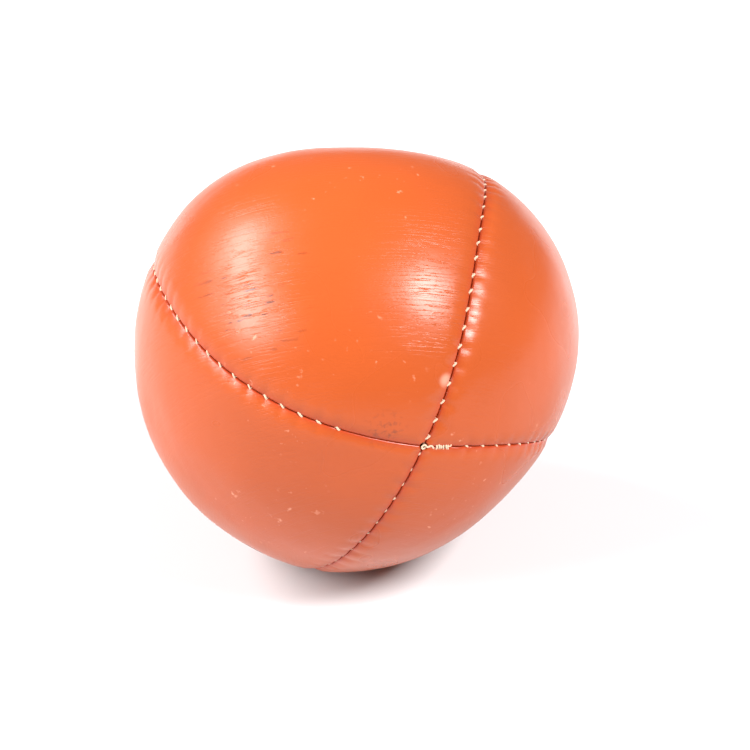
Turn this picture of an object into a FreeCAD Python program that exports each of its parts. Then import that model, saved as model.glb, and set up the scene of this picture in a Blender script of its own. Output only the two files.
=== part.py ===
import FreeCAD, Part

import math
import os
import re

import Sketcher

# Four-panel juggling ball: a leather beanbag filled with millet, as it rests on a table.
#
# Four equal lune-shaped panels run from the front pole to the back pole. The long edges of each are
# turned inwards and sewn to the next panel's with a lockstitch: a needle thread along one turned-in edge
# (the seam allowance) and a bobbin thread along the other, which meet halfway through the leather at
# every stitch. Two panels make the upper half, two the lower half, and the ring seam joins the halves.
# The ring seam was left open at the front pole to pour the millet in, and was then closed by hand with a
# ladder stitch.
#
# Each piece is built about the middle of the ball: Z towards the front pole, X towards the right arm of
# the ring seam, Y towards the upper seam. It is then turned to lie as the ball does and lifted on to the
# table. The table is Z = 0 and the origin is under the middle of the ball. The leather is pressed flat
# where it meets the table.

PARTS_FOLDER = "parts"

# Driving sizes, in millimetres, degrees or plain counts: (alias, value, what it is).
SIZES = [
    ("ball_diameter", 63.0, "across the finished ball"),
    ("leather_thickness", 1.0, "one layer of cover leather"),
    ("seam_allowance", 4.0, "turned-in edge, inwards from the cover's inner face"),
    ("seam_gap", 0.3, "between two panels' turned-in edges"),
    ("fold_radius", 0.6, "outer radius where the leather turns in"),
    ("stitch_pitch", 2.6, "wanted distance from one stitch to the next"),
    ("thread_diameter", 0.4, "sewing thread"),
    ("thread_clearance", 0.05, "between a thread and the leather round it"),
    ("thread_tightness", 0.9, "thickness of the thread where it is pulled through a hole, over its own"),
    ("thread_tail", 1.0, "thread left beyond the last stitch of a seam"),
    ("closing_length", 18.0, "part of the ring seam that was sewn last, by hand"),
    ("closing_right_stitches", 2, "stitches of the closing to the right of the front pole"),
    ("fill_clearance", 0.2, "between the millet and what it lies against"),
    ("rest_depth", 0.4, "leather pressed flat where the ball stands"),
    ("seam_roll", -22.0, "turn of the seams about the pole axis"),
    ("pole_tilt", 7.0, "front pole above the horizontal"),
]

# Sizes worked out from the driving ones: (alias, formula, what it is).
WORKED = [
    ("ball_radius", "ball_diameter / 2", "outer face of the cover"),
    ("inner_radius", "ball_radius - leather_thickness", "inner face of the cover"),
    ("root_radius", "ball_radius - leather_thickness / 2", "where an allowance joins the cover"),
    ("allowance_radius", "inner_radius - seam_allowance", "cut edge of the seam allowances"),
    ("half_gap", "seam_gap / 2", "seam plane to an allowance"),
    ("thread_radius", "thread_diameter / 2", "sewing thread"),
    ("leg_radius", "thread_radius * thread_tightness", "thread in a needle hole"),
    ("hole_radius", "thread_radius + thread_clearance", "needle hole"),
    ("stitch_radius", "inner_radius - hole_radius - thread_clearance", "circle the stitches lie on"),
    ("thread_offset", "half_gap + leather_thickness + hole_radius", "seam plane to a run of thread"),
    ("hole_depth", "thread_offset - thread_radius", "seam plane to the far end of a needle hole"),
    ("knot_radius", "thread_radius * 1.5", "knot at an end of the closing thread"),
    ("knot_offset", "thread_offset + knot_radius - thread_radius", "seam plane to the middle of a knot"),
    ("knot_height", "stitch_radius + thread_radius - knot_radius", "middle of the ball to that of a knot"),
    ("seam_stitches", "floor(pi * stitch_radius / stitch_pitch)", "stitches along one seam, pole to pole"),
    ("stitch_angle", "180 / seam_stitches", "from one stitch to the next, seen from the centre"),
    ("pitch_made", "pi * stitch_radius / seam_stitches", "distance from one stitch to the next"),
    ("tail_angle", "thread_tail / pitch_made * stitch_angle", "tail, seen from the centre"),
    ("bend_angle", "thread_radius / pitch_made * stitch_angle", "bend past a rung, seen from the centre"),
    ("pole_trim", "thread_offset + hole_radius + thread_clearance", "allowance cut away at each pole"),
    ("skipped", "ceil((pole_trim + thread_diameter) / pitch_made - 0.5)", "stitches left out at each pole"),
    ("half_stitches", "seam_stitches - 2 * skipped", "stitches in the upper seam and in the lower seam"),
    ("half_start", "(skipped + 0.5) * stitch_angle", "front pole to the first of those"),
    ("whole_start", "stitch_angle / 2", "front pole to the ring seam's first needle hole"),
    ("closing_stitches", "round(closing_length / pitch_made)", "hand stitches in the closing"),
    ("closing_end", "(closing_right_stitches - 0.5) * stitch_angle", "front pole to the last of those"),
    ("closing_start", "closing_end - (closing_stitches - 1) * stitch_angle", "front pole to the first"),
    ("ring_start", "closing_end + stitch_angle", "front pole to the ring seam's first machine stitch"),
    ("ring_stitches", "2 * seam_stitches - closing_stitches", "machine stitches in the ring seam"),
    ("upper_runs", "ceil((closing_stitches - 1) / 2)", "closing runs along the upper allowance"),
    ("lower_runs", "floor((closing_stitches - 1) / 2)", "closing runs along the lower allowance"),
    ("last_side", "2 * mod(closing_stitches; 2) - 1", "side of the closing's last knot, upper 1, lower -1"),
    ("fill_radius", "inner_radius - fill_clearance", "surface of the millet"),
    ("slot_radius", "allowance_radius - fill_clearance", "bottom of the millet's seam slots"),
    ("slot_half_width", "knot_offset + knot_radius + fill_clearance", "half of a seam slot"),
    ("centre_height", "ball_radius - rest_depth", "middle of the ball above the table"),
]

# Where each seam leaves the front pole: degrees about the pole axis, from the right arm of the ring seam.
RING_RIGHT = 0
UPPER_SEAM = 90
RING_LEFT = 180
LOWER_SEAM = 270
QUARTER = 90
HALF_TURN = 180
FULL_TURN = 360

# Along a whole seam, and along one that stops short of the ring seam: (trim, first stitch, stitches).
RING_EDGE = ("half_gap", "whole_start", "seam_stitches")
HALF_EDGE = ("pole_trim", "half_start", "half_stitches")

# Panels: (node, seam along the first edge, kind of first edge, kind of second edge).
PANELS = [
    ("panel_right", RING_RIGHT, RING_EDGE, HALF_EDGE),
    ("panel_top", UPPER_SEAM, HALF_EDGE, RING_EDGE),
    ("panel_left", RING_LEFT, RING_EDGE, HALF_EDGE),
    ("panel_base", LOWER_SEAM, HALF_EDGE, RING_EDGE),
]

# Machine-sewn threads: (node, seam, side of the seam plane, first stitch, stitches).
THREADS = [
    ("upper_seam_needle_thread", UPPER_SEAM, 1, "half_start", "half_stitches"),
    ("upper_seam_bobbin_thread", UPPER_SEAM, -1, "half_start", "half_stitches"),
    ("lower_seam_needle_thread", LOWER_SEAM, 1, "half_start", "half_stitches"),
    ("lower_seam_bobbin_thread", LOWER_SEAM, -1, "half_start", "half_stitches"),
    ("ring_seam_needle_thread", RING_RIGHT, 1, "ring_start", "ring_stitches"),
    ("ring_seam_bobbin_thread", RING_RIGHT, -1, "ring_start", "ring_stitches"),
]


# ------------------------------------------------------------------------------------------------ sizes


def vector(x=0.0, y=0.0, z=0.0):
    return FreeCAD.Vector(x, y, z)


def linked(formula):
    """The formula with every alias written as a reference to the sheet."""
    aliases = {alias for alias, _, _ in SIZES + WORKED}
    return re.sub(r"[a-z_]+", lambda word: ("Sizes." if word[0] in aliases else "") + word[0], formula)


def size_of(owner, formula):
    """What the formula comes to now, in the document that the owner is in."""
    return float(owner.Document.Sizes.evalExpression(formula))


def bind(owner, **formulas):
    """Ties properties of the owner to the sheet."""
    for name, formula in formulas.items():
        owner.setExpression(name, linked(formula))


def make_sizes(doc):
    """The spreadsheet that every piece is tied to."""
    sheet = doc.addObject("Spreadsheet::Sheet", "Sizes")
    rows = [(alias, str(value), meaning) for alias, value, meaning in SIZES]
    rows += [(alias, "=" + formula, meaning) for alias, formula, meaning in WORKED]
    for row, (alias, content, meaning) in enumerate(rows, start=1):
        sheet.set(f"A{row}", alias)
        sheet.set(f"B{row}", content)
        sheet.set(f"C{row}", meaning)
        sheet.setAlias(f"B{row}", alias)
    doc.recompute()


# ---------------------------------------------------------------------------------------------- sketches

# The sketcher's own numbers: the sketch's origin, its upright axis, and the ends and middle of a line or arc.
ORIGIN = (-1, 1)
UPRIGHT_AXIS = -2
FIRST, SECOND, MIDDLE = 1, 2, 3


def origin_feature(body, role):
    """One of the body's own planes or axes."""
    return next(feature for feature in body.Origin.OriginFeatures if feature.Role == role)


def new_sketch(body, role, name, offset=None, turn=None, flipped=False):
    """A sketch on one of the body's planes. It can be moved along its normal, turned about its level
    axis, and flipped over its upright one."""
    sketch = body.newObject("Sketcher::SketchObject", name)
    sketch.AttachmentSupport = [(origin_feature(body, role), "")]
    sketch.MapMode = "FlatFace"
    if offset:
        sketch.setExpression("AttachmentOffset.Base.z", linked(offset))
    if turn:
        turned = f"rotation(vector(1; 0; 0); {linked(turn)})"
        over = f"rotation(vector(0; 1; 0); {flipped * HALF_TURN})"
        sketch.setExpression("AttachmentOffset", f"placement(vector(0; 0; 0); {turned} * {over})")
    return sketch


def dimension(sketch, formula, kind, *where):
    """A dimension of the sketch, tied to the sheet."""
    number = sketch.addConstraint(Sketcher.Constraint(kind, *where, size_of(sketch, formula)))
    sketch.setExpression(f"Constraints[{number}]", linked(formula))


def locate(sketch, element, end, x, y):
    """Ties a point of the sketch to a level and an upright distance from its origin."""
    if x is None:
        sketch.addConstraint(Sketcher.Constraint("PointOnObject", element, end, UPRIGHT_AXIS))
    else:
        dimension(sketch, x, "DistanceX", *ORIGIN, element, end)
    dimension(sketch, y, "DistanceY", *ORIGIN, element, end)


def draw_circle(sketch, x, y, radius):
    """A circle whose middle is at x, y. With x None it is on the upright axis."""
    middle = vector(size_of(sketch, x) if x else 0, size_of(sketch, y))
    circle = sketch.addGeometry(Part.Circle(middle, vector(z=1), size_of(sketch, radius)))
    locate(sketch, circle, MIDDLE, x, y)
    dimension(sketch, radius, "Radius", circle)


def draw_outline(sketch, corners):
    """A closed outline through corners that are each given as x and y formulas."""
    points = [vector(size_of(sketch, x), size_of(sketch, y)) for x, y in corners]
    lines = [sketch.addGeometry(Part.LineSegment(*ends)) for ends in zip(points, points[1:] + points[:1])]
    for line, following, (x, y) in zip(lines, lines[1:] + lines[:1], corners):
        sketch.addConstraint(Sketcher.Constraint("Coincident", line, SECOND, following, FIRST))
        locate(sketch, line, FIRST, x, y)


def draw_crescent(sketch, outer, inner, trim=None):
    """Half a ring, on the right of the upright axis or of an upright line at the trim."""
    arcs = []
    for radius in (outer, inner):
        circle = Part.Circle(vector(), vector(z=1), size_of(sketch, radius))
        arc = sketch.addGeometry(Part.ArcOfCircle(circle, -math.pi / 2, math.pi / 2))
        sketch.addConstraint(Sketcher.Constraint("Coincident", arc, MIDDLE, *ORIGIN))
        dimension(sketch, radius, "Radius", arc)
        arcs.append(arc)
    for end in (FIRST, SECOND):
        ends = [sketch.getPoint(arc, end) for arc in arcs]
        line = sketch.addGeometry(Part.LineSegment(*ends))
        sketch.addConstraint(Sketcher.Constraint("Coincident", line, FIRST, arcs[0], end))
        sketch.addConstraint(Sketcher.Constraint("Coincident", line, SECOND, arcs[1], end))
        sketch.addConstraint(Sketcher.Constraint("Vertical", line))
        if trim:
            dimension(sketch, trim, "DistanceX", *ORIGIN, line, FIRST)
        else:
            sketch.addConstraint(Sketcher.Constraint("PointOnObject", line, FIRST, UPRIGHT_AXIS))


# ---------------------------------------------------------------------------------------------- features


def new_body(doc, name):
    """A body whose steps are named after it."""
    body = doc.addObject("PartDesign::Body", name)
    body.Label = name
    return body


def add_feature(body, kind, name, sketch, **formulas):
    """A feature of the body that is made from a sketch."""
    body.Document.recompute()
    feature = body.newObject("PartDesign::" + kind, name)
    feature.Profile = sketch
    bind(feature, **formulas)
    return feature


def revolve(body, kind, name, sketch, axis, angle):
    """Turns the sketch about its level axis, H_Axis, or its upright one, V_Axis."""
    feature = add_feature(body, kind, name, sketch, Angle=angle)
    feature.ReferenceAxis = (sketch, [axis])
    return feature


def repeat(body, feature, name, axis, count, step, backwards=False):
    """The feature again at equal steps about one of the body's axes."""
    body.Document.recompute()
    pattern = body.newObject("PartDesign::PolarPattern", name)
    pattern.Originals = [feature]
    pattern.Axis = (origin_feature(body, axis), [""])
    pattern.Reversed = backwards
    pattern.Mode = "Spacing"
    bind(pattern, Occurrences=count, Offset=step)
    body.Tip = pattern


def add_ball(body, name, radius, x=None, y=None, z=None, kind="AdditiveSphere"):
    """A ball added to the body or taken from it, with its middle at the given formulas or at the origin."""
    ball = body.newObject("PartDesign::" + kind, name)
    ball.AttachmentSupport = [(origin_feature(body, "XY_Plane"), "")]
    ball.MapMode = "FlatFace"
    bind(ball, Radius=radius)
    for direction, formula in (("x", x), ("y", y), ("z", z)):
        if formula:
            ball.setExpression("AttachmentOffset.Base." + direction, linked(formula))
    return ball


def must_cut(body):
    """Raises an error when the body's last feature removed nothing."""
    body.Document.recompute()
    before, after = (feature.Shape.Volume for feature in (body.Tip.BaseFeature, body.Tip))
    if not after < before:
        raise RuntimeError(f"{body.Tip.Label} removed nothing")


# ------------------------------------------------------------------------------------------------ pieces


def add_allowance(body, plane, offset, backwards, trim):
    """The turned-in edge along one side of a panel."""
    sketch = new_sketch(body, plane, "allowance_outline", offset=offset)
    draw_crescent(sketch, "root_radius", "allowance_radius", trim)
    allowance = add_feature(body, "Pad", "allowance", sketch, Length="leather_thickness")
    allowance.Reversed = backwards


def fold_edges(body):
    """Rounds the two outer edges, where the leather turns in to the seams."""
    sharp = body.Tip
    radius = size_of(body, "ball_radius")
    gap = size_of(body, "half_gap")
    edges = []
    for number, edge in enumerate(sharp.Shape.Edges, start=1):
        middle = edge.valueAt((edge.FirstParameter + edge.LastParameter) / 2)
        on_outside = math.isclose(middle.Length, radius, rel_tol=1e-6)
        if on_outside and math.isclose(min(middle.x, middle.y), gap, abs_tol=1e-6):
            edges.append(f"Edge{number}")
    fold = body.newObject("PartDesign::Fillet", "fold")
    fold.Base = (sharp, edges)
    bind(fold, Radius="fold_radius")
    body.Document.recompute()


def pierce(body, plane, axis, backwards, start, count):
    """The needle holes through one allowance."""
    sketch = new_sketch(body, plane, "needle_hole_outline")
    across, along = (f"stitch_radius * {function}({start})" for function in ("sin", "cos"))
    draw_circle(sketch, across, along, "hole_radius")
    hole = add_feature(body, "Pocket", "needle_hole", sketch, Length="hole_depth")
    hole.Reversed = backwards
    must_cut(body)
    repeat(body, hole, "needle_holes", axis, count, "stitch_angle", backwards)
    must_cut(body)


def make_panel(doc, node, first_edge, second_edge):
    """A quarter of the cover, with its first edge in the XZ plane and its second in the YZ plane."""
    body = new_body(doc, node)
    away_from_panel = FreeCAD.Rotation(vector(-1, -1), vector(), vector(1, -1), "ZXY")
    outer = add_ball(body, "cover", "ball_radius")
    inner = add_ball(body, "hollow", "inner_radius", kind="SubtractiveSphere")
    for ball in (outer, inner):
        ball.AttachmentOffset = FreeCAD.Placement(vector(), away_from_panel)
    must_cut(body)
    sketch = new_sketch(body, "XY_Plane", "other_panels_outline")
    near, edge, far = "-ball_diameter", "half_gap", "ball_diameter"
    draw_outline(sketch, [(near, near), (far, near), (far, edge), (edge, edge), (edge, far), (near, far)])
    others = add_feature(body, "Pocket", "other_panels", sketch, Length="2 * ball_diameter")
    others.Midplane = True
    must_cut(body)
    add_allowance(body, "XZ_Plane", "-half_gap", True, first_edge[0])
    add_allowance(body, "YZ_Plane", "half_gap", False, second_edge[0])
    body.Document.recompute()
    fold_edges(body)
    pierce(body, "XZ_Plane", "Y_Axis", False, first_edge[1], first_edge[2])
    pierce(body, "YZ_Plane", "X_Axis", True, second_edge[1], second_edge[2])
    return body


def add_run(body, name, side, first, last, beyond):
    """Thread lying along an allowance between two stitches, and a little beyond each."""
    turn = f"({first}) * stitch_angle - {beyond}"
    sketch = new_sketch(body, "YZ_Plane", name + "_outline", turn=turn, flipped=side < 0)
    draw_circle(sketch, "thread_offset", "stitch_radius", "thread_radius")
    angle = f"({last} - {first}) * stitch_angle + 2 * {beyond}"
    run = revolve(body, "Revolution", name, sketch, "H_Axis", angle)
    run.Reversed = side < 0
    return run


def make_machine_thread(doc, node, side, count):
    """One thread of a lockstitched seam: a run along one allowance, and a leg into every needle hole."""
    body = new_body(doc, node)
    add_run(body, "run", side, "0", f"({count} - 1)", "tail_angle")
    sketch = new_sketch(body, "XZ_Plane", "leg_outline")
    draw_circle(sketch, None, "stitch_radius", "leg_radius")
    leg = add_feature(body, "Pad", "leg", sketch, Length="thread_offset")
    leg.Reversed = side > 0
    repeat(body, leg, "legs", "Y_Axis", count, "stitch_angle")
    return body


def make_closing_thread(doc, node):
    """The ladder stitch: rungs across the seam, joined by runs along the two allowances in turn."""
    body = new_body(doc, node)
    sketch = new_sketch(body, "XZ_Plane", "rung_outline")
    draw_circle(sketch, None, "stitch_radius", "leg_radius")
    rung = add_feature(body, "Pad", "rung", sketch, Length="2 * thread_offset")
    rung.Midplane = True
    repeat(body, rung, "rungs", "Y_Axis", "closing_stitches", "stitch_angle")
    upper_run = add_run(body, "upper_run", 1, "0", "1", "bend_angle")
    repeat(body, upper_run, "upper_runs", "Y_Axis", "upper_runs", "2 * stitch_angle")
    lower_run = add_run(body, "lower_run", -1, "1", "2", "bend_angle")
    repeat(body, lower_run, "lower_runs", "Y_Axis", "lower_runs", "2 * stitch_angle")
    add_ball(body, "first_knot", "knot_radius", y="-knot_offset", z="knot_height")
    last_turn = "(closing_stitches - 1) * stitch_angle"
    across, along = (f"knot_height * {function}({last_turn})" for function in ("sin", "cos"))
    add_ball(body, "last_knot", "knot_radius", x=across, y="last_side * knot_offset", z=along)
    return body


def make_filling(doc, node):
    """The body of millet, with a slot round it for each ring of seam allowances."""
    body = new_body(doc, node)
    add_ball(body, "millet", "fill_radius")
    for plane in ("YZ_Plane", "XZ_Plane"):
        sketch = new_sketch(body, plane, "slot_outline")
        left, right, bottom, top = "-slot_half_width", "slot_half_width", "slot_radius", "ball_radius"
        draw_outline(sketch, [(left, bottom), (right, bottom), (right, top), (left, top)])
        revolve(body, "Groove", "seam_slot", sketch, "H_Axis", str(FULL_TURN))
        must_cut(body)
    return body


# ---------------------------------------------------------------------------------------------- the ball


def lay(body, seam, start="0"):
    """Turns the body from the pole to its seam, then as the ball lies, and lifts it on to the table."""
    lifted = "vector(0; 0; centre_height)"
    tilt = f"rotation(vector(1; 0; 0); {QUARTER} - pole_tilt)"
    roll = f"rotation(vector(0; 0; 1); seam_roll + {seam})"
    along = f"rotation(vector(0; 1; 0); {start})"
    body.setExpression("Placement", linked(f"placement({lifted}; {tilt} * {roll} * {along})"))
    return body


def make_table(doc):
    """A block with its top at Z = 0, which presses the leather flat."""
    table = doc.addObject("Part::Box", "table")
    bind(table, Length="ball_diameter", Width="ball_diameter", Height="ball_diameter")
    corner = "vector(-ball_radius; -ball_radius; -ball_diameter)"
    table.setExpression("Placement", linked(f"placement({corner}; rotation(vector(0; 0; 1); 0))"))
    return table


def press(doc, node, whole, table):
    """The panel as it stands on the table."""
    pressed = doc.addObject("Part::Cut", node)
    pressed.Base = whole
    pressed.Tool = table
    return pressed


def check(doc, pieces):
    """Raises an error when a step of the document failed or a piece is not one sound solid."""
    for step in doc.Objects:
        if {"Invalid", "Error"} & set(step.State):
            raise RuntimeError(f"{step.Label} did not recompute")
    for piece in pieces:
        if piece.Shape.isNull() or not piece.Shape.isValid() or len(piece.Shape.Solids) != 1:
            raise RuntimeError(f"{piece.Label} is not one sound solid")


def main():
    doc = FreeCAD.newDocument("juggling_ball")
    make_sizes(doc)
    table = make_table(doc)
    pieces = []
    for node, seam, first_edge, second_edge in PANELS:
        whole = lay(make_panel(doc, node + "_whole", first_edge, second_edge), seam)
        pieces.append(press(doc, node, whole, table))
    for node, seam, side, start, count in THREADS:
        pieces.append(lay(make_machine_thread(doc, node, side, count), seam, start))
    pieces.append(lay(make_closing_thread(doc, "closing_thread"), RING_RIGHT, "closing_start"))
    pieces.append(lay(make_filling(doc, "millet_filling"), RING_RIGHT))
    doc.recompute()
    check(doc, pieces)
    os.makedirs(PARTS_FOLDER, exist_ok=True)
    for piece in pieces:
        piece.Shape.exportStep(os.path.join(PARTS_FOLDER, piece.Label + ".step"))


main()
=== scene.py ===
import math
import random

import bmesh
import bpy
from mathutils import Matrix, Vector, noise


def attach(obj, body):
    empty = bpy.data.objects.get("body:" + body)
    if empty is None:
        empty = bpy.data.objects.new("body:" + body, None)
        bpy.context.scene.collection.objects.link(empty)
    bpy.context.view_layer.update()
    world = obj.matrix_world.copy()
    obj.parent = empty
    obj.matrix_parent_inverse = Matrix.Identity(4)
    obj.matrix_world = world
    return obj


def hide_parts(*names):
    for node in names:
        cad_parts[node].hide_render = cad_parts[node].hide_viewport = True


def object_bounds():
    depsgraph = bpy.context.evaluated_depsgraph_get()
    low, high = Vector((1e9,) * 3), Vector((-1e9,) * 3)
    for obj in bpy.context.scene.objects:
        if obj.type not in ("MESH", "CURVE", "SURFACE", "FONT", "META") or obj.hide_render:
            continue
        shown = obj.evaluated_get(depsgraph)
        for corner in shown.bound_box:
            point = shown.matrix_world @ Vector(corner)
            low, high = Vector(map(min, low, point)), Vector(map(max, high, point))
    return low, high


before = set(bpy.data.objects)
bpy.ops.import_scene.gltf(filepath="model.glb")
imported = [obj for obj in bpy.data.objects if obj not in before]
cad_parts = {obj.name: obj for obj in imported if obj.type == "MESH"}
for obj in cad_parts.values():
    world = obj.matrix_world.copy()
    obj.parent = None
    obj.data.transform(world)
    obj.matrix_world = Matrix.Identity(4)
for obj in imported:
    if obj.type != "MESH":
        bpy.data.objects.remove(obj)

# A four-panel leather juggling beanbag at rest on a pale floor.
#
# Places on the ball are given by "along", the distance from the front pole (where the seams cross) towards
# the back pole, and "around", the angle about the line through the poles. Every piece is put on the same ball
# surface, so the panels, their stitches and the filling fit each other. Lengths are in metres; mm() turns
# millimetres into them.

bl_info = {
    "name": "Juggling Beanbag",
    "version": (1, 0, 0),
    "blender": (4, 5, 0),
    "location": "View3D > Sidebar > Beanbag",
    "description": "Builds a stitched leather juggling beanbag round its packed frame",
    "category": "Add Mesh",
}

CAD_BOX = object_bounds()
CAD_RADIUS = (CAD_BOX[1][0] - CAD_BOX[0][0]) / 2


def mm(millimetres):
    return millimetres / 1000


# Seams, as (where the seam leaves the front pole, how far it has slipped sideways halfway along, how far it
# sways to and fro on the way), in degrees.
RING_RIGHT = (7.4, -12.7, -2.8)
UPPER_SEAM = (83.7, -10.2, 7.3)
RING_LEFT = (183.8, -11.8, 1.5)
LOWER_SEAM = (265.2, 5.7, -3.4)
RING_RIGHT_AGAIN = (RING_RIGHT[0] + 360, *RING_RIGHT[1:])

# Panels, as (CAD node, first seam, second seam, how far the middle stands out as a share of the radius).
PANELS = [
    ("panel_right", RING_RIGHT, UPPER_SEAM, -0.012),
    ("panel_top", UPPER_SEAM, RING_LEFT, 0.028),
    ("panel_left", RING_LEFT, LOWER_SEAM, -0.039),
    ("panel_base", LOWER_SEAM, RING_RIGHT_AGAIN, -0.020),
]

# Where the loose filling stands higher or lower, as (outward direction, height, reach in degrees).
LUMPS = [
    (Vector((0.13, 0.48, 0.87)), mm(-3.6), 30),
    (Vector((-0.87, -0.06, -0.50)), mm(1.4), 40),
    (Vector((0.72, -0.49, -0.50)), mm(-2.7), 35),
]


def length(name, description, default):
    return bpy.props.FloatProperty(name=name, description=description, default=default, subtype="DISTANCE",
                                   unit="LENGTH", precision=5)


def share(name, description, default):
    return bpy.props.FloatProperty(name=name, description=description, default=default, subtype="FACTOR")


def angle(name, description, degrees):
    return bpy.props.FloatProperty(name=name, description=description, default=math.radians(degrees),
                                   subtype="ANGLE", unit="ROTATION")


class BeanbagSizes(bpy.types.PropertyGroup):
    radius: length("Radius", "Middle of the ball to a seam", CAD_RADIUS * 1.021)
    settle: share("Settle", "Height of the ball over its width", 0.965)
    foot_press: length("Foot press", "Depth of ball pressed flat on the floor", mm(1.0))
    pole_tilt: angle("Pole tilt", "Front pole above the horizontal", 5.7)
    seam_roll: angle("Seam roll", "Turn of the seams about the poles", -20)
    leather: length("Leather", "Thickness of the leather", mm(1.0))
    allowance: length("Seam allowance", "Width of a turned-in edge inside the ball", mm(4.0))
    half_gap: length("Half gap", "Middle of a seam to the leather", mm(0.035))
    fold: length("Fold radius", "Roundness of a turned-in edge", mm(0.3))
    valley_depth: length("Valley depth", "How far a seam pulls the leather in", mm(0.34))
    valley_width: length("Valley width", "How far from a seam the leather is pulled in", mm(1.2))
    stitch_pitch: length("Stitch pitch", "One stitch to the next", mm(2.6))
    stitch_start: length("First stitch", "Front pole to the first stitch of a seam", mm(1.3))
    thread: length("Thread", "Thickness of the sewing thread", mm(0.27))
    grain: length("Millet grain", "Length of a millet grain", mm(2.2))


def sizes():
    return bpy.context.scene.beanbag_sizes


# ----------------------------------------------------------------------------------------- the ball's surface

# The floor presses the foot flat over this height, and the panels stop this far from the poles.
FOOT_BLEND = mm(0.9)
TIP_RADIUS = mm(0.5)

# How far the hand-closed stretch goes from the front pole, along each arm of the ring seam.
CLOSING_LEFT = mm(11.0)
CLOSING_RIGHT = mm(4.0)

# Stitches pull unevenly, between these shares of the usual pull.
LOOSEST_PULL = 0.55
TIGHTEST_PULL = 1.25

# A stitch pulls a dimple into the seam and draws up a pucker beside it, where the leather isn't held.
DIMPLE_DEPTH = mm(0.16)
PUCKER_HEIGHT = mm(0.09)
PUCKER_ASIDE = mm(1.3)
PULLED_WIDTH = mm(0.8)
EVEN_PULL = 0.4


def smooth_step(value, low, high):
    part = min(max((value - low) / (high - low), 0.0), 1.0)
    return part * part * (3 - 2 * part)


class Ball:
    """The surface that every piece is placed on."""

    def __init__(self):
        given = sizes()
        self.radius = given.radius
        self.settle = given.settle
        self.length = math.pi * given.radius
        self.pitch = given.stitch_pitch
        self.first_stitch = given.stitch_start
        self.stitches = int((self.length - 2 * given.stitch_start) / given.stitch_pitch) + 1
        self.valley_depth = given.valley_depth
        self.valley_width = given.valley_width
        tilt = Matrix.Rotation(math.pi / 2 - given.pole_tilt, 3, "X")
        self.lay = tilt @ Matrix.Rotation(given.seam_roll, 3, "Z")
        self.centre = Vector((0, 0, given.radius * given.settle - given.foot_press))
        self.lumps = [(middle, rise, math.radians(reach)) for middle, rise, reach in LUMPS]
        pulls = random.Random(11)
        self.pull = [pulls.uniform(LOOSEST_PULL, TIGHTEST_PULL) for _ in range(self.stitches + 2)]

    def rested(self, height):
        """A height above the floor, after the floor has pressed the foot of the ball flat."""
        near = max(FOOT_BLEND - abs(height), 0.0) / FOOT_BLEND
        return max(height, 0.0) + near * near * FOOT_BLEND / 4

    def point(self, direction, fullness=0.0, depth=0.0):
        """The place under the surface in a direction of the ball's own coordinates."""
        outward = self.lay @ direction
        height = self.radius * (1 + fullness)
        for middle, rise, reach in self.lumps:
            height += rise * math.exp(-((outward.angle(middle) / reach) ** 2))
        place = outward * height
        place.z = self.rested(place.z * self.settle + self.centre.z)
        return place - outward * depth

    def seam_around(self, seam, along):
        """Where a seam runs, as an angle about the poles."""
        start, slip, sway = seam
        turn = along / self.radius
        return math.radians(start + slip * math.sin(turn) ** 2 + sway * math.sin(turn) * math.sin(2 * turn))

    def off_seam(self, seam, along, aside, depth):
        """A place beside a seam, or under it. Aside is towards the seam's later panel."""
        around = self.seam_around(seam, along)
        out = Vector((math.cos(around), math.sin(around), 0))
        later = Vector((-out.y, out.x, 0))
        turn, lean = along / self.radius, aside / self.radius
        straight = out * math.sin(turn) + Vector((0, 0, math.cos(turn)))
        return self.point(straight * math.cos(lean) + later * math.sin(lean), depth=depth)

    def stitch_pull(self, seam, along):
        """How hard the stitches pull here: near 1 at a stitch, near 0 between two."""
        place = (along - self.first_stitch) / self.pitch
        nearest = min(max(round(place), 0), self.stitches)
        pulse = 0.5 + 0.5 * math.cos(2 * math.pi * (place - round(place)))
        return self.pull[nearest] * pulse ** 2 * self.open_seam(seam, along)

    def open_seam(self, seam, along):
        """1 on a machine-sewn stretch, falling to 0 where the seam was closed by hand."""
        if seam in (UPPER_SEAM, LOWER_SEAM):
            return 1.0
        closed = CLOSING_LEFT if seam is RING_LEFT else CLOSING_RIGHT
        return smooth_step(along, closed - self.pitch / 2, closed + self.pitch / 2)

    def sunk(self, seam, along, aside):
        """How far a seam has pulled the leather in, this far from its middle."""
        valley = self.valley_depth * math.exp(-((aside / self.valley_width) ** 2))
        if aside > 4 * self.valley_width:
            return valley
        pull = self.stitch_pull(seam, along)
        dimple = DIMPLE_DEPTH * pull * math.exp(-((aside / PULLED_WIDTH) ** 2))
        off_pucker = (aside - PUCKER_ASIDE) / PULLED_WIDTH
        pucker = PUCKER_HEIGHT * (pull - EVEN_PULL) * math.exp(-(off_pucker ** 2))
        return valley + dimple + pucker


# -------------------------------------------------------------------------------------------- finished pieces

def finish_piece(bm, name, material, *, body="root", node):
    """Makes the mesh an object that stands for its CAD node."""
    mesh = bpy.data.meshes.new(name)
    bm.to_mesh(mesh)
    bm.free()
    mesh.shade_smooth()
    piece = bpy.data.objects.new(name, mesh)
    bpy.context.scene.collection.objects.link(piece)
    mesh.materials.append(material)
    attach(piece, body)
    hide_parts(node)
    return piece


# ----------------------------------------------------------------------------------------------------- panels

ROW_STEP = mm(0.33)
FOLD_STEPS = 4
WALL_SHARES = (1.0, 0.72, 0.46, 0.24, 0.08)
MIDDLE_COLUMNS = 40

# Turned-in edges are cut short near the poles, where four seams meet.
SHORT_EDGE_END = mm(1.8)
FULL_EDGE_START = mm(4.0)

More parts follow.
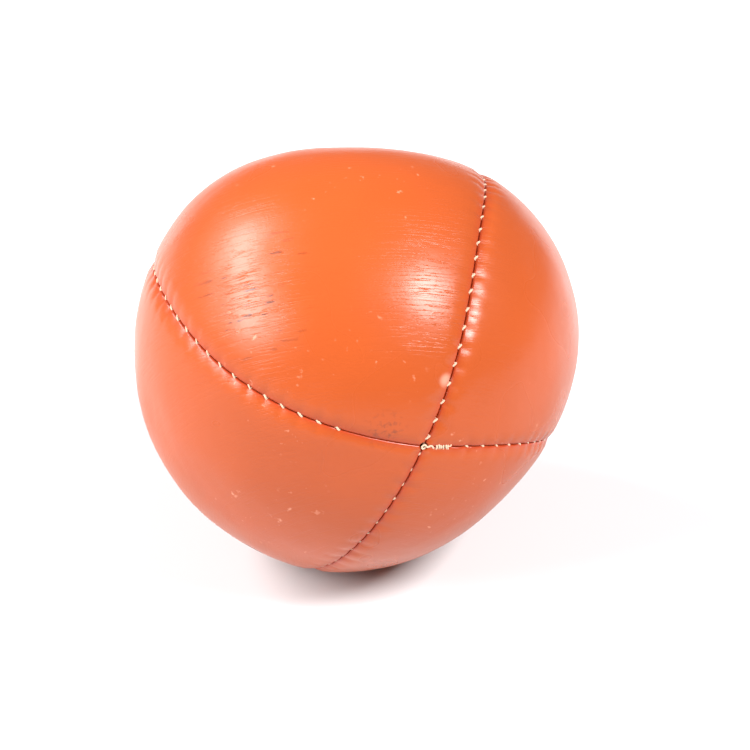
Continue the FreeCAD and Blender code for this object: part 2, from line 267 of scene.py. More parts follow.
# Painted shade in the seams: on the turned-in edge, and on the face beside it, where it fades out.
EDGE_PAINTED_SHADE = 0.7
FACE_PAINTED_SHADE = 0.35
FACE_PAINTED_SHADE_WIDTH = mm(0.8)

# How far apart two edges stand, as shares of the half gap: between stitches, how much less at a stitch, and
# what is left of that where the seam was closed by hand.
LOOSE_GAP = 1.25
PULLED_GAP = 0.8
CLOSED_GAP = 0.25

# Grains under the leather, and its own unevenness, as (height, noise cells to the radius of the ball).
UNEVENNESS = ((mm(0.12), 4.0), (mm(0.02), 15.0))
SAME_PLACE = mm(0.003)


class PanelShape:
    """One panel as rows from the front pole to the back and columns from its first seam to its second.

    Each column has an outer point and an inner one, a thickness of leather apart. The columns of a turned-in
    edge go down its wall and round its fold.
    """

    def __init__(self, ball, first, second, fullness):
        given = sizes()
        self.ball, self.first, self.second, self.fullness = ball, first, second, fullness
        self.leather, self.gap, self.fold = given.leather, given.half_gap, given.fold
        self.allowance = given.leather + given.allowance
        turns = [math.pi / 2 * step / FOLD_STEPS for step in range(FOLD_STEPS + 1)]
        fold = [(self.fold * (1 - math.cos(turn)), self.fold * (1 - math.sin(turn))) for turn in turns]
        edge = [("wall", down) for down in WALL_SHARES] + [("fold", step) for step in fold[:-1]]
        middle = [("middle", step / MIDDLE_COLUMNS) for step in range(MIDDLE_COLUMNS + 1)]
        self.columns = [(kind, value, False) for kind, value in edge + middle]
        self.columns += [(kind, value, True) for kind, value in reversed(edge)]
        tip = [(TIP_RADIUS, self.leather)] + [(TIP_RADIUS + aside, depth) for aside, depth in fold]
        start = TIP_RADIUS + self.fold
        count = round((ball.length - 2 * start) / ROW_STEP)
        body = [(start + (ball.length - 2 * start) * row / count, 0.0) for row in range(1, count)]
        self.rows = tip + body + [(ball.length - along, depth) for along, depth in reversed(tip)]

    def swing(self, along, aside):
        """The angle about the poles that is this far from a seam."""
        reach = math.sin(aside / self.ball.radius) / math.sin(along / self.ball.radius)
        return math.asin(min(reach, math.sin(math.pi / 4)))

    def edge_depth(self, along):
        """How deep the turned-in edges go: cut short at the poles."""
        from_pole = min(along, self.ball.length - along)
        full = smooth_step(from_pole, SHORT_EDGE_END, FULL_EDGE_START)
        return self.leather + (self.allowance - self.leather) * full

    def point(self, row, column, inner):
        """A corner of the panel's mesh, on its outer face or its inner one."""
        along, end_depth = self.rows[row]
        kind, value, far_side = self.columns[column]
        closed = row in (0, len(self.rows) - 1)
        start = self.ball.seam_around(self.first, along)
        stop = self.ball.seam_around(self.second, along)
        edge = self.gap + self.fold
        depth = end_depth
        if kind == "middle":
            low, high = start + self.swing(along, edge), stop - self.swing(along, edge)
            around = low + (high - low) * value
            if inner and not closed:
                hidden = self.swing(along, self.gap + self.leather)
                around = min(max(around, start + hidden), stop - hidden)
        else:
            if kind == "wall":
                aside, down = self.gap, self.fold + (self.edge_depth(along) - self.fold) * value
            else:
                aside, down = self.gap + value[0], value[1]
            depth = max(depth, down)
            if inner and not closed:
                aside = self.gap + self.leather
            swing = self.swing(along, self.slack(along, far_side, aside))
            around = stop - swing if far_side else start + swing
        if inner:
            depth = max(depth, self.leather)
        return self.place(along, around, start, stop, depth)

    def dirt_and_painted_shade(self, row, column):
        """How much shade is painted on the leather here: most in the seam, none a little way from it."""
        along = self.rows[row][0]
        kind, value, _ = self.columns[column]
        if kind != "middle":
            return EDGE_PAINTED_SHADE
        width = math.pi / 2 * self.ball.radius * math.sin(along / self.ball.radius)
        aside = width * min(value, 1 - value)
        return FACE_PAINTED_SHADE * (1 - smooth_step(aside, 0.0, FACE_PAINTED_SHADE_WIDTH))

    def slack(self, along, far_side, aside):
        """The distance aside after the stitches have drawn the edges together and left them open between."""
        seam = self.second if far_side else self.first
        pull = self.ball.stitch_pull(seam, along)
        opened = CLOSED_GAP + (1 - CLOSED_GAP) * self.ball.open_seam(seam, along)
        return aside - self.gap + self.gap * (LOOSE_GAP - PULLED_GAP * pull) * opened

    def place(self, along, around, start, stop, depth):
        """A place under the panel's surface, between the angles of its two seams."""
        ball = self.ball
        turn = along / ball.radius
        across = math.pi * (around - start) / (stop - start)
        fullness = self.fullness * math.sin(turn) * math.sin(across)
        direction = Vector((math.sin(turn) * math.cos(around), math.sin(turn) * math.sin(around),
                            math.cos(turn)))
        first_aside = ball.radius * math.asin(min(1.0, abs(math.sin(turn) * math.sin(around - start))))
        second_aside = ball.radius * math.asin(min(1.0, abs(math.sin(turn) * math.sin(stop - around))))
        sunk = max(ball.sunk(self.first, along, first_aside), ball.sunk(self.second, along, second_aside))
        lumps = sum(height * noise.noise(direction * often, noise_basis="PERLIN_NEW")
                    for height, often in UNEVENNESS)
        return ball.point(direction, fullness, depth + sunk + lumps)

    def mesh(self):
        """The panel as a closed shell."""
        count, last_row = len(self.columns), len(self.rows) - 1
        bm = bmesh.new()
        bmesh.ops.create_grid(bm, x_segments=2 * count, y_segments=last_row, size=0.5)
        # Each corner keeps how much seam shade is painted on it.
        dirt_and_painted_shade = bm.verts.layers.float.new("seam_dirt")
        for vert in bm.verts:
            step = round((vert.co.x + 0.5) * 2 * count) % (2 * count)
            row = round((vert.co.y + 0.5) * last_row)
            inner = step >= count
            column = 2 * count - 1 - step if inner else step
            vert.co = self.point(row, column, inner)
            vert[dirt_and_painted_shade] = self.dirt_and_painted_shade(row, column)
        bmesh.ops.remove_doubles(bm, verts=bm.verts, dist=SAME_PLACE)
        bmesh.ops.recalc_face_normals(bm, faces=bm.faces)
        return bm


class BEANBAG_OT_panels(bpy.types.Operator):
    """Four leather panels with their edges turned in to the seams"""
    bl_idname = "beanbag.panels"
    bl_label = "Leather Panels"

    def execute(self, context):
        ball = Ball()
        leather = coated_leather(ball)
        for node, first, second, fullness in PANELS:
            bm = PanelShape(ball, first, second, fullness).mesh()
            panel = finish_piece(bm, node + "_leather", leather, node=node)
        return {"FINISHED"}


# ---------------------------------------------------------------------------------------------------- threads

# One stitch of one thread, as (along from the middle of the stitch, aside towards its own panel, depth), in
# millimetres. The thread comes up through its panel's edge, hooks over the other thread and goes back down.
STITCH = [
    (-0.80, 1.15, 1.75), (-0.62, 1.02, 1.40), (-0.48, 0.62, 0.85), (-0.44, 0.34, 0.36), (-0.32, 0.22, 0.06),
    (-0.10, 0.06, 0.00), (0.12, -0.14, 0.04), (0.26, -0.10, 0.22), (0.32, 0.14, 0.30), (0.36, 0.38, 0.60),
    (0.44, 0.70, 1.00), (0.60, 1.02, 1.40), (0.80, 1.15, 1.75),
]

# How much deeper than usual a seam's stitches have been drawn in, in millimetres.
STITCH_SINK = {UPPER_SEAM: 0.0, LOWER_SEAM: 0.2, RING_RIGHT: 0.10, RING_LEFT: 0.03}

# Sewing is never quite even: stitches vary in place, depth and size.
PLACE_PLAY = mm(0.12)
DEPTH_PLAY = mm(0.05)
SMALLEST_STITCH = 0.85
LARGEST_STITCH = 1.15

# The ladder stitch goes this far aside and this deep at each of its corners, in millimetres.
LADDER_RUNG = ((-1.2, 1.5), (-0.5, 1.15), (0.5, 1.15), (1.2, 1.5))

# The over-stitches wind back along the ring seam as a flat coil round its two edges.
OVER_STITCHES = 7
POINTS_A_TURN = 8
COIL_START = CLOSING_RIGHT * 0.95
COIL_LENGTH = mm(2.3)
COIL_HALF_WIDTH = mm(0.42)
COIL_MIDDLE_DEPTH = mm(0.28)
COIL_HALF_HEIGHT = mm(0.30)
COIL_PLAY = mm(0.08)

# The knot over the crossing, as (along, aside, depth) from the front pole, in millimetres.
KNOT = (
    (1.0, 0.3, 0.1), (0.5, -0.2, 0.0), (0.1, 0.35, 0.05), (-0.35, -0.05, 0.0),
    (-0.1, -0.45, 0.1), (0.35, -0.1, 0.15), (0.1, 0.3, 0.5), (0.0, 0.1, 1.6),
)


def strand(name, runs, thickness, material, node):
    """A thread that follows runs of points, as a round tube."""
    curve = bpy.data.curves.new(name, "CURVE")
    curve.dimensions = "3D"
    curve.bevel_depth = thickness / 2
    curve.bevel_resolution = 1
    curve.resolution_u = 3
    curve.use_fill_caps = True
    for run in runs:
        spline = curve.splines.new("NURBS")
        spline.points.add(len(run) - 1)
        for point, place in zip(spline.points, run):
            point.co = (*place, 1)
        spline.order_u = 3
        spline.use_endpoint_u = True
    route = bpy.data.objects.new(name + "_route", curve)
    bpy.context.scene.collection.objects.link(route)
    bpy.context.view_layer.update()
    mesh = bpy.data.meshes.new_from_object(route.evaluated_get(bpy.context.evaluated_depsgraph_get()))
    bm = bmesh.new()
    bm.from_mesh(mesh)
    bpy.data.objects.remove(route)
    bpy.data.meshes.remove(mesh)
    bmesh.ops.recalc_face_normals(bm, faces=bm.faces)
    return finish_piece(bm, name, material, node=node)


def seam_run(ball, seam, side, first, last, seed):
    """A lockstitch thread's route along a seam, from one stitch to another.

    Side -1 mirrors each stitch both along and aside, so its hidden run to the next stitch doubles back.
    """
    loose = random.Random(seed)
    route = []
    for stitch in range(first, last + 1):
        middle = ball.first_stitch + stitch * ball.pitch + loose.uniform(-PLACE_PLAY, PLACE_PLAY)
        size = loose.uniform(SMALLEST_STITCH, LARGEST_STITCH)
        sink = loose.uniform(-DEPTH_PLAY, DEPTH_PLAY) + mm(STITCH_SINK[seam])
        for along, aside, depth in STITCH:
            under = mm(depth) * size + sink + ball.sunk(seam, middle, mm(abs(aside)))
            place = middle + side * mm(along) * size
            route.append(ball.off_seam(seam, place, side * mm(aside) * size, under))
    return route[::side]


class BEANBAG_OT_seam_threads(bpy.types.Operator):
    """The lockstitch threads of the upper seam, the lower seam and the ring seam"""
    bl_idname = "beanbag.seam_threads"
    bl_label = "Seam Threads"

    def execute(self, context):
        ball = Ball()
        cotton = twisted_thread()
        last = ball.stitches - 1
        thickness = sizes().thread
        closed_right = math.ceil((CLOSING_RIGHT - ball.first_stitch) / ball.pitch)
        closed_left = math.ceil((CLOSING_LEFT - ball.first_stitch) / ball.pitch)
        for side, kind in ((1, "needle"), (-1, "bobbin")):
            for number, (place, seam) in enumerate((("upper", UPPER_SEAM), ("lower", LOWER_SEAM))):
                node = f"{place}_seam_{kind}_thread"
                run = seam_run(ball, seam, side, 0, last, seed=number + 10 * side)
                strand(node + "_strand", [run], thickness, cotton, node)
            right = seam_run(ball, RING_RIGHT, side, closed_right, last, seed=3 + 10 * side)
            left = seam_run(ball, RING_LEFT, -side, closed_left, last, seed=4 + 10 * side)
            node = f"ring_seam_{kind}_thread"
            strand(node + "_strand", [right, left], thickness, cotton, node)
        return {"FINISHED"}


class BEANBAG_OT_closing_thread(bpy.types.Operator):
    """The hand-sewn ladder stitch that closed the ring seam, and the over-stitches that finish it"""
    bl_idname = "beanbag.closing_thread"
    bl_label = "Closing Thread"

    def execute(self, context):
        ball = Ball()
        route = self.ladder(ball) + self.over_stitching(ball) + self.knot(ball)
        strand("closing_thread_strand", [route], sizes().thread, twisted_thread(), "closing_thread")
        return {"FINISHED"}

    def ladder(self, ball):
        """The hidden rungs, from the far end of the closing to the front pole."""
        route = []
        rungs = round(CLOSING_LEFT / ball.pitch)
        for rung in range(rungs, 0, -1):
            side = 1 if rung % 2 else -1
            along = rung * ball.pitch - ball.pitch / 2
            for aside, depth in LADDER_RUNG:
                route.append(ball.off_seam(RING_LEFT, along, side * mm(aside), mm(depth)))
        return route

    def over_stitching(self, ball):
        """The over-stitches on the right arm, back towards the front pole."""
        loose = random.Random(5)
        route = []
        count = OVER_STITCHES * POINTS_A_TURN
        for number in range(count):
            around = number / POINTS_A_TURN * 2 * math.pi
            along = COIL_START - COIL_LENGTH * number / count + loose.uniform(-PLACE_PLAY, PLACE_PLAY)
            aside = COIL_HALF_WIDTH * math.sin(around) + loose.uniform(-COIL_PLAY, COIL_PLAY)
            depth = COIL_MIDDLE_DEPTH - COIL_HALF_HEIGHT * math.cos(around)
            sunk = ball.sunk(RING_RIGHT, along, abs(aside))
            route.append(ball.off_seam(RING_RIGHT, along, aside, depth + sunk))
        return route

    def knot(self, ball):
        """The finishing knot and the end that goes down into the seam."""
        route = []
        for along, aside, depth in KNOT:
            sunk = ball.sunk(RING_RIGHT, mm(abs(along)), mm(abs(aside)))
            route.append(ball.off_seam(RING_RIGHT, mm(along), mm(aside), mm(depth) + sunk))
        return route


# ---------------------------------------------------------------------------------------------------- filling

GRAINS = 2400
HANDFUL = 50

# As shares of a grain's length: half its width, half its height, how deep the outer grains' middles lie under
# the leather, and how unevenly.
GRAIN_HALF_WIDTH = 0.42
GRAIN_HALF_HEIGHT = 0.38
GRAIN_DEPTH = 0.55
GRAIN_PLAY = 0.1

# The filling's body is smaller than the ball by this share of its radius. It is drawn in by a whole allowance
# nearer to a seam than the first number of leathers, and not at all farther off than the second.
PACKED = -0.04
EDGE_NEAR = 2.4
EDGE_FAR = 4.0


class BEANBAG_OT_filling(bpy.types.Operator):
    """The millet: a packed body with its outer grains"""
    bl_idname = "beanbag.filling"
    bl_label = "Millet Filling"

    def execute(self, context):
        ball = Ball()
        given = sizes()
        under_leather = given.leather + given.valley_depth + given.grain * GRAIN_DEPTH
        bm = bmesh.new()
        bmesh.ops.create_icosphere(bm, subdivisions=5, radius=1)
        for vert in bm.verts:
            vert.co = self.grain_place(ball, vert.co.normalized(), under_leather + given.grain * GRAIN_PLAY)
        places = self.grain_places(ball, under_leather)
        for first in range(0, GRAINS, HANDFUL):
            self.add_grains(bm, places[first:first + HANDFUL])
        finish_piece(bm, "millet_filling_grains", millet_husk(), node="millet_filling")
        return {"FINISHED"}

    def grain_places(self, ball, under_leather):
        """Each outer grain's place, turn and shape, spread evenly over the ball on a golden spiral."""
        grain = sizes().grain
        scatter = random.Random(21)
        golden = math.pi * (3 - math.sqrt(5))
        shape = Matrix.Diagonal((grain / 2, grain * GRAIN_HALF_WIDTH, grain * GRAIN_HALF_HEIGHT, 1))
        places = []
        for number in range(GRAINS):
            height = 1 - (number + 0.5) * 2 / GRAINS
            flat = math.sqrt(1 - height * height)
            direction = Vector((math.cos(golden * number) * flat, math.sin(golden * number) * flat, height))
            depth = under_leather + scatter.uniform(0, grain * GRAIN_PLAY)
            place = self.grain_place(ball, direction, depth)
            turned = scatter.uniform(0, math.pi)
            turn = Matrix.Rotation(turned, 4, Vector((1, scatter.random(), 0)).normalized())
            places.append(Matrix.Translation(place) @ turn @ shape)
        return places

    def add_grains(self, bm, places):
        """Adds a handful of grains. A handful at a time is far quicker than one by one."""
        batch = bmesh.new()
        for place in places:
            bmesh.ops.create_uvsphere(batch, u_segments=6, v_segments=4, radius=1, matrix=place)
        mesh = bpy.data.meshes.new("handful")
        batch.to_mesh(mesh)
        batch.free()
        bm.from_mesh(mesh)
        bpy.data.meshes.remove(mesh)

    def grain_place(self, ball, direction, depth):
        """A place under the leather, drawn further in where it would meet a turned-in edge."""
        given = sizes()
        nearest = min(abs(direction.x), abs(direction.y)) * ball.radius
        clear = smooth_step(nearest, given.leather * EDGE_NEAR, given.leather * EDGE_FAR)
        return ball.point(direction, PACKED, depth + given.allowance * (1 - clear))


# -------------------------------------------------------------------------------------------------- materials

def linear(hex_colour):
    """An sRGB hex colour as linear RGBA."""
    parts = [int(hex_colour[start:start + 2], 16) / 255 for start in (0, 2, 4)]
    return (*(part / 12.92 if part <= 0.04045 else ((part + 0.055) / 1.055) ** 2.4 for part in parts), 1.0)


def add(tree, kind, inputs=None, **settings):
    """Adds a node with its settings. An input is given a value, or the socket that drives it."""
    node = tree.nodes.new("ShaderNode" + kind)
    for name, value in settings.items():
        setattr(node, name, value)
    for name, value in (inputs or {}).items():
        if isinstance(value, bpy.types.NodeSocket):
            tree.links.new(value, node.inputs[name])
        else:
            node.inputs[name].default_value = value
    return node


def new_material(name):
    material = bpy.data.materials.new(name)
    material.use_nodes = True
    material.node_tree.nodes.clear()
    return material, material.node_tree


class BeanbagColours(bpy.types.PropertyGroup):
    leather: bpy.props.FloatVectorProperty(
        name="Leather", description="Pigment of the leather's coat", size=4, subtype="COLOR", min=0, max=1,
        default=linear("AD4C20"))
    thread: bpy.props.FloatVectorProperty(
        name="Thread", description="Natural cotton-wrapped thread", size=4, subtype="COLOR", min=0, max=1,
        default=linear("CFB094"))
    millet: bpy.props.FloatVectorProperty(
        name="Millet", description="Millet husk", size=4, subtype="COLOR", min=0, max=1,
        default=linear("D9A441"))


def colours():
    return bpy.context.scene.beanbag_colours


def per_metre(spacing):
    """The scale that repeats a pattern at this spacing."""
    return 1 / spacing


# Where the coat is worn or marked, as (outward direction, reach).
CRACKED_SPOT = (Vector((-0.58, -0.51, 0.63)), mm(12))
SMUDGE = (Vector((0.11, -0.93, 0.35)), mm(1.3))
RUBBED_DIRT = (Vector((-0.16, -0.97, 0.19)), mm(3.6))
WORN_SPOTS = [CRACKED_SPOT, (Vector((0.13, -0.74, 0.66)), mm(12))]

# The coat's darker tone, as a share of its pigment, and the direction that its creases run in.
DEEP_TONE = 0.88
CREASE_DIRECTION = Vector((0.15, 0.76, 0.64))


def near_spots(tree, place, ball, spots, soft):
    """1 near the middle of each spot on the ball, falling to 0 at its reach."""
    total = None
    for direction, reach in spots:
        middle = ball.centre + direction.normalized() * ball.radius
        away = add(tree, "VectorMath", {0: place, 1: middle}, operation="DISTANCE").outputs["Value"]
        near = add(tree, "MapRange", {"Value": away, "From Min": reach * soft, "From Max": reach, "To Min": 1.0,
                                      "To Max": 0.0}, interpolation_type="SMOOTHSTEP").outputs[0]
        if total is not None:
            near = add(tree, "Math", {0: total, 1: near}, operation="MAXIMUM").outputs[0]
        total = near
    return total


def stretched(tree, place, turn, along, across):
    """Coordinates that stretch a pattern into lines, given their length and spacing."""
    turned = add(tree, "Mapping", {"Vector": place, "Rotation": turn}, vector_type="POINT").outputs[0]
    scale = (per_metre(along), per_metre(along), per_metre(across))
    return add(tree, "Mapping", {"Vector": turned, "Scale": scale}, vector_type="POINT").outputs[0]


def leather_relief(tree, place, turn, patches, ball):
    """Fine creases over broad folds, with a pore grain on both."""
    # Creases run in near-parallel lines: 0.25 mm apart and 6 mm long. They show most where the coat is worn.
    lines = stretched(tree, place, turn, mm(6), mm(0.25))
    creases = add(tree, "TexNoise", {"Vector": lines, "Scale": 1.0, "Detail": 3.0,
                                     "Roughness": 0.55}).outputs[0]
    creases = add(tree, "MapRange", {"Value": creases, "From Min": 0.52, "From Max": 0.60, "To Min": 1.0,
                                     "To Max": 0.0}, interpolation_type="SMOOTHSTEP").outputs[0]
    worn_at = near_spots(tree, place, ball, WORN_SPOTS, 0.1)
    loose = add(tree, "MapRange", {"Value": patches, "From Min": 0.4, "From Max": 0.7, "To Min": 0.12,
                                   "To Max": 0.5}).outputs[0]
    strength = add(tree, "Math", {0: worn_at, 1: loose}, operation="MAXIMUM").outputs[0]
    # Folds in the coat: 1.6 mm apart and 14 mm long.
    wide = stretched(tree, place, turn, mm(14), mm(1.6))
    folds = add(tree, "TexNoise", {"Vector": wide, "Scale": 1.0, "Detail": 2.0, "Roughness": 0.5}).outputs[0]
    # Pores: 0.45 mm apart.
    pores = add(tree, "TexVoronoi", {"Vector": place, "Scale": per_metre(mm(0.45))}).outputs["Distance"]
    broad = add(tree, "Bump", {"Height": folds, "Strength": 0.20, "Distance": mm(0.10)}).outputs[0]
    fine = add(tree, "Bump", {"Height": creases, "Strength": strength, "Distance": mm(0.028),
                              "Normal": broad}).outputs[0]
    return add(tree, "Bump", {"Height": pores, "Strength": 0.12, "Distance": mm(0.04),
                              "Normal": fine}).outputs[0]


def leather_colour(tree, place, turn, ball):
    """The pigment, with cracks, scuffs, dirt, and shade painted into its seams."""
    base = tuple(colours().leather)
    deep = tuple(part * DEEP_TONE for part in base[:3]) + (1,)
    # The tone changes every 9 mm.
    tone = add(tree, "TexNoise", {"Vector": place, "Scale": per_metre(mm(9)), "Detail": 4.0}).outputs[0]
    colour = add(tree, "Mix", {0: tone, 6: deep, 7: base}, data_type="RGBA").outputs[2]
    # Cracks through the coat in the worn spot: 0.7 mm apart and 4 mm long.
    cracked = stretched(tree, place, turn, mm(4), mm(0.7))
    lines = add(tree, "TexNoise", {"Vector": cracked, "Scale": 1.0, "Detail": 3.0,
                                   "Roughness": 0.6}).outputs[0]
    lines = add(tree, "MapRange", {"Value": lines, "From Min": 0.61, "From Max": 0.66}).outputs[0]
    cracked_at = near_spots(tree, place, ball, [CRACKED_SPOT], 0.2)
    cracks = add(tree, "Math", {0: lines, 1: cracked_at}, operation="MULTIPLY").outputs[0]
    colour = add(tree, "Mix", {0: cracks, 6: colour, 7: linear("5A2408")}, data_type="RGBA").outputs[2]
    # The turned-in edges and the face beside them are painted dark red as shade, so the seams read as dark red
    # lines.
    edge = add(tree, "Attribute", attribute_name="seam_dirt").outputs["Fac"]
    colour = add(tree, "Mix", {0: edge, 6: colour, 7: linear("A2341A")}, data_type="RGBA").outputs[2]
    # Scuffs: pale flecks about 1.3 mm across, in groups some 12 mm wide.
    flecks = add(tree, "TexNoise", {"Vector": place, "Scale": per_metre(mm(1.3)), "Detail": 3.0}).outputs[0]
    flecks = add(tree, "MapRange", {"Value": flecks, "From Min": 0.66, "From Max": 0.74}).outputs[0]
    groups = add(tree, "TexNoise", {"Vector": place, "Scale": per_metre(mm(12)), "Detail": 1.0}).outputs[0]
    groups = add(tree, "MapRange", {"Value": groups, "From Min": 0.52, "From Max": 0.62,
                                    "To Max": 0.45}).outputs[0]
    scuffs = add(tree, "Math", {0: flecks, 1: groups}, operation="MULTIPLY").outputs[0]
    colour = add(tree, "Mix", {0: scuffs, 6: colour, 7: linear("E0A184")}, data_type="RGBA").outputs[2]
    # A pale smudge beside the upper seam, and dirt rubbed into the coat above the hand-closed seam in specks
    # 0.6 mm across.
    smudge = near_spots(tree, place, ball, [SMUDGE], 0.3)
    smudge = add(tree, "Math", {0: smudge, 1: tone}, operation="MULTIPLY").outputs[0]
    colour = add(tree, "Mix", {0: smudge, 6: colour, 7: linear("E8B8A0")}, data_type="RGBA").outputs[2]
    specks = add(tree, "TexNoise", {"Vector": place, "Scale": per_metre(mm(0.6)), "Detail": 3.0}).outputs[0]
    specks = add(tree, "MapRange", {"Value": specks, "From Min": 0.52, "From Max": 0.66,
                                    "To Max": 0.8}).outputs[0]
    dirt_and_painted_shade = near_spots(tree, place, ball, [RUBBED_DIRT], 0.2)
    dirt_and_painted_shade = add(tree, "Math", {0: dirt_and_painted_shade, 1: specks}, operation="MULTIPLY").outputs[0]
    return add(tree, "Mix", {0: dirt_and_painted_shade, 6: colour, 7: linear("7A3A22")}, data_type="RGBA").outputs[2]


def coated_leather(ball):
    """Split leather with a pressed polyurethane coat: an even strong colour with a soft shine that breaks up
    over fine parallel creases, a faint pore grain, and light scuffs where hands wear it."""
    material, tree = new_material("coated_leather")
    place = add(tree, "TexCoord").outputs["Object"]
    turn = CREASE_DIRECTION.rotation_difference(Vector((0, 0, 1))).to_euler()
    # Looser and firmer patches of the hide, 16 mm across.
    patches = add(tree, "TexNoise", {"Vector": place, "Scale": per_metre(mm(16)), "Detail": 2.0}).outputs[0]
    rough = add(tree, "MapRange", {"Value": patches, "From Min": 0.35, "From Max": 0.65, "To Min": 0.26,
                                   "To Max": 0.33}).outputs[0]
    shader = add(tree, "BsdfPrincipled", {
        "Base Color": leather_colour(tree, place, turn, ball), "Roughness": rough,
        "Normal": leather_relief(tree, place, turn, patches, ball), "Specular IOR Level": 0.3})
    add(tree, "OutputMaterial", {"Surface": shader.outputs[0]})
    return material


def twisted_thread():
    """Waxed cotton-wrapped thread: cream, dull, with the fine slant of its twist."""
    material, tree = new_material("waxed_cotton_thread")
    place = add(tree, "TexCoord").outputs["Object"]
    # The plies are 0.2 mm apart.
    twist = add(tree, "TexNoise", {"Vector": place, "Scale": per_metre(mm(0.2)), "Detail": 2.0}).outputs[0]
    bump = add(tree, "Bump", {"Height": twist, "Strength": 0.5, "Distance": mm(0.05)})
    shader = add(tree, "BsdfPrincipled", {
        "Base Color": tuple(colours().thread), "Roughness": 0.7, "Normal": bump.outputs[0],
        "Sheen Weight": 0.3})
    add(tree, "OutputMaterial", {"Surface": shader.outputs[0]})
    return material


# The darkest husk, as a share of the lightest one's colour.
DARK_HUSK = 0.6


def millet_husk():
    """Dry millet husk: golden, with a waxy shine."""
    material, tree = new_material("millet_husk")
    place = add(tree, "TexCoord").outputs["Object"]
    # Neighbouring grains differ, so the tone changes every 2 mm.
    tone = add(tree, "TexNoise", {"Vector": place, "Scale": per_metre(mm(2)), "Detail": 1.0}).outputs[0]
    light = tuple(colours().millet)
    dark = tuple(part * DARK_HUSK for part in light[:3]) + (1,)
    husk = add(tree, "Mix", {0: tone, 6: dark, 7: light}, data_type="RGBA").outputs[2]
    shader = add(tree, "BsdfPrincipled", {"Base Color": husk, "Roughness": 0.45})
    add(tree, "OutputMaterial", {"Surface": shader.outputs[0]})
    return material


# ------------------------------------------------------------------------------------------------------ stage

class StageSettings(bpy.types.PropertyGroup):
    azimuth: angle("Azimuth", "Camera round the ball from its front", -15.4)
    elevation: angle("Elevation", "Camera above the horizon", 30)
    distance: length("Distance", "Camera to the middle of the ball", CAD_RADIUS * 9)
    lens: bpy.props.FloatProperty(
        name="Lens", description="Focal length", default=95.6, subtype="DISTANCE_CAMERA")
    world: bpy.props.FloatProperty(name="Room light", description="Strength of the white room", default=0.2)
    left_lamp: bpy.props.FloatProperty(name="Left lamp", description="Power", default=68.0, subtype="POWER")
    right_lamp: bpy.props.FloatProperty(name="Right lamp", description="Power", default=46.0, subtype="POWER")
    lamp_distance: length("Lamp distance", "Middle of the ball to a lamp", 1.6)


# Soft boxes, as (name, setting of its power, direction along the view's right, up and backward axes, width
# and height as shares of the distance, roll in degrees).
SOFT_BOXES = (
    ("left_softbox", "left_lamp", (-0.80, 0.49, 0.36), 0.30, 1.15, 72),
    ("right_softbox", "right_lamp", (0.58, 0.48, 0.66), 0.32, 0.32, 0),
)

# The view is aimed to the right of the ball's middle and below it.
AIM_RIGHT = mm(2.1)
AIM_DOWN = mm(3.4)
FLOOR_HALF_WIDTH = 3


def aimed(place, target):
    """The turn of a lamp or camera that looks from place to target."""
    return (target - place).to_track_quat("-Z", "Y").to_euler()


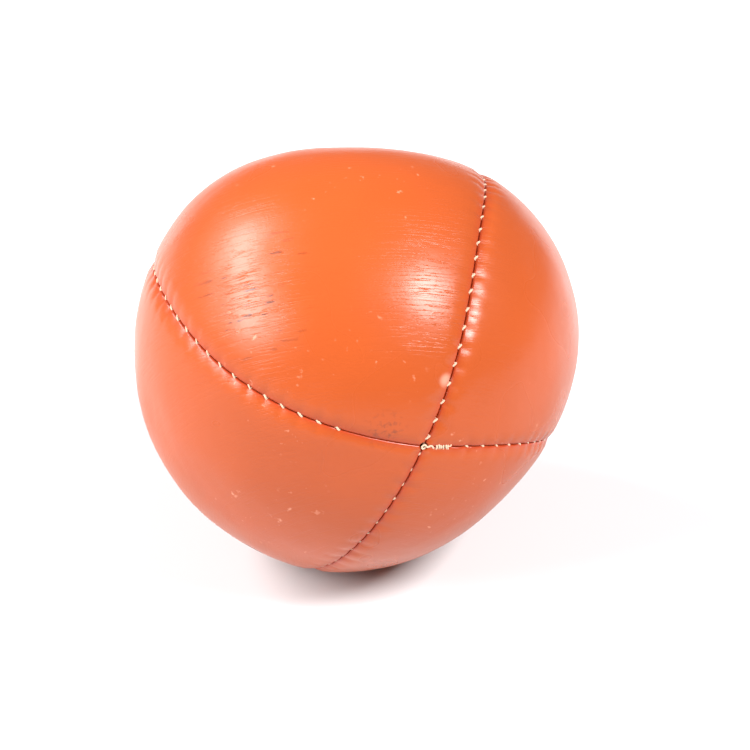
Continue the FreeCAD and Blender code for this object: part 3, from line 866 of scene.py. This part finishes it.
class BEANBAG_OT_stage(bpy.types.Operator):
    """A pale floor, a white room, two soft boxes and the camera"""
    bl_idname = "beanbag.stage"
    bl_label = "Stage"

    def execute(self, context):
        scene = context.scene
        self.add_floor(scene)
        self.add_room(scene)
        centre = Ball().centre
        axes = self.view_axes(scene.beanbag_stage)
        self.add_lamps(scene, centre, axes)
        self.add_camera(scene, centre, axes)
        scene.view_settings.view_transform = "Standard"
        return {"FINISHED"}

    def add_room(self, scene):
        world = bpy.data.worlds.new("white_room")
        world.use_nodes = True
        background = world.node_tree.nodes["Background"]
        background.inputs["Color"].default_value = (1, 1, 1, 1)
        background.inputs["Strength"].default_value = scene.beanbag_stage.world
        scene.world = world

    def add_lamps(self, scene, centre, axes):
        across, up, back = axes
        given = scene.beanbag_stage
        for name, power, aim, width, height, roll in SOFT_BOXES:
            direction = across * aim[0] + up * aim[1] + back * aim[2]
            lamp = bpy.data.lights.new(name, "AREA")
            lamp.energy = getattr(given, power)
            lamp.shape = "RECTANGLE"
            lamp.size = given.lamp_distance * width
            lamp.size_y = given.lamp_distance * height
            box = bpy.data.objects.new(name, lamp)
            box.location = centre + direction * given.lamp_distance
            box.rotation_euler = aimed(box.location, centre)
            box.rotation_euler.rotate_axis("Z", math.radians(roll))
            scene.collection.objects.link(box)

    def add_camera(self, scene, centre, axes):
        across, up, back = axes
        given = scene.beanbag_stage
        camera = bpy.data.cameras.new("camera")
        camera.lens = given.lens
        camera.clip_start = 0.01
        view = bpy.data.objects.new("camera", camera)
        target = centre + across * AIM_RIGHT - up * AIM_DOWN
        view.location = target + back * given.distance
        view.rotation_euler = aimed(view.location, target)
        scene.collection.objects.link(view)
        scene.camera = view

    def view_axes(self, given):
        """The view's right, up and backward directions."""
        turn, rise = given.azimuth, given.elevation
        across = Vector((math.cos(turn), math.sin(turn), 0))
        back = Vector((math.sin(turn) * math.cos(rise), -math.cos(turn) * math.cos(rise), math.sin(rise)))
        return across, back.cross(across), back

    def add_floor(self, scene):
        material, tree = new_material("white_paper_floor")
        shader = add(tree, "BsdfPrincipled", {"Base Color": (0.64, 0.64, 0.65, 1), "Roughness": 0.9})
        add(tree, "OutputMaterial", {"Surface": shader.outputs[0]})
        bm = bmesh.new()
        bmesh.ops.create_grid(bm, x_segments=1, y_segments=1, size=FLOOR_HALF_WIDTH)
        mesh = bpy.data.meshes.new("floor")
        bm.to_mesh(mesh)
        bm.free()
        mesh.materials.append(material)
        floor = bpy.data.objects.new("floor", mesh)
        scene.collection.objects.link(floor)


# ----------------------------------------------------------------------------------------------------- add-on

class BEANBAG_PT_panel(bpy.types.Panel):
    """The beanbag's steps"""
    bl_idname = "BEANBAG_PT_panel"
    bl_label = "Juggling Beanbag"
    bl_space_type = "VIEW_3D"
    bl_region_type = "UI"
    bl_category = "Beanbag"

    def draw(self, context):
        for step in STEPS:
            self.layout.operator(step.bl_idname)
        # A group's first two properties are Blender's own, so they are left out.
        for name in SETTINGS:
            group = getattr(context.scene, name)
            for prop in group.bl_rna.properties.keys()[2:]:
                self.layout.prop(group, prop)


STEPS = (BEANBAG_OT_panels, BEANBAG_OT_seam_threads, BEANBAG_OT_closing_thread, BEANBAG_OT_filling,
         BEANBAG_OT_stage)
SETTINGS = {"beanbag_sizes": BeanbagSizes, "beanbag_colours": BeanbagColours, "beanbag_stage": StageSettings}


def register():
    for kind in (*SETTINGS.values(), *STEPS, BEANBAG_PT_panel):
        bpy.utils.register_class(kind)
    for name, kind in SETTINGS.items():
        setattr(bpy.types.Scene, name, bpy.props.PointerProperty(type=kind))


def unregister():
    for name in SETTINGS:
        delattr(bpy.types.Scene, name)
    for kind in (BEANBAG_PT_panel, *reversed(STEPS), *reversed(SETTINGS.values())):
        bpy.utils.unregister_class(kind)


def main():
    register()
    bpy.ops.beanbag.panels()
    bpy.ops.beanbag.seam_threads()
    bpy.ops.beanbag.closing_thread()
    bpy.ops.beanbag.filling()
    bpy.ops.beanbag.stage()


if __name__ == "__main__":
    main()
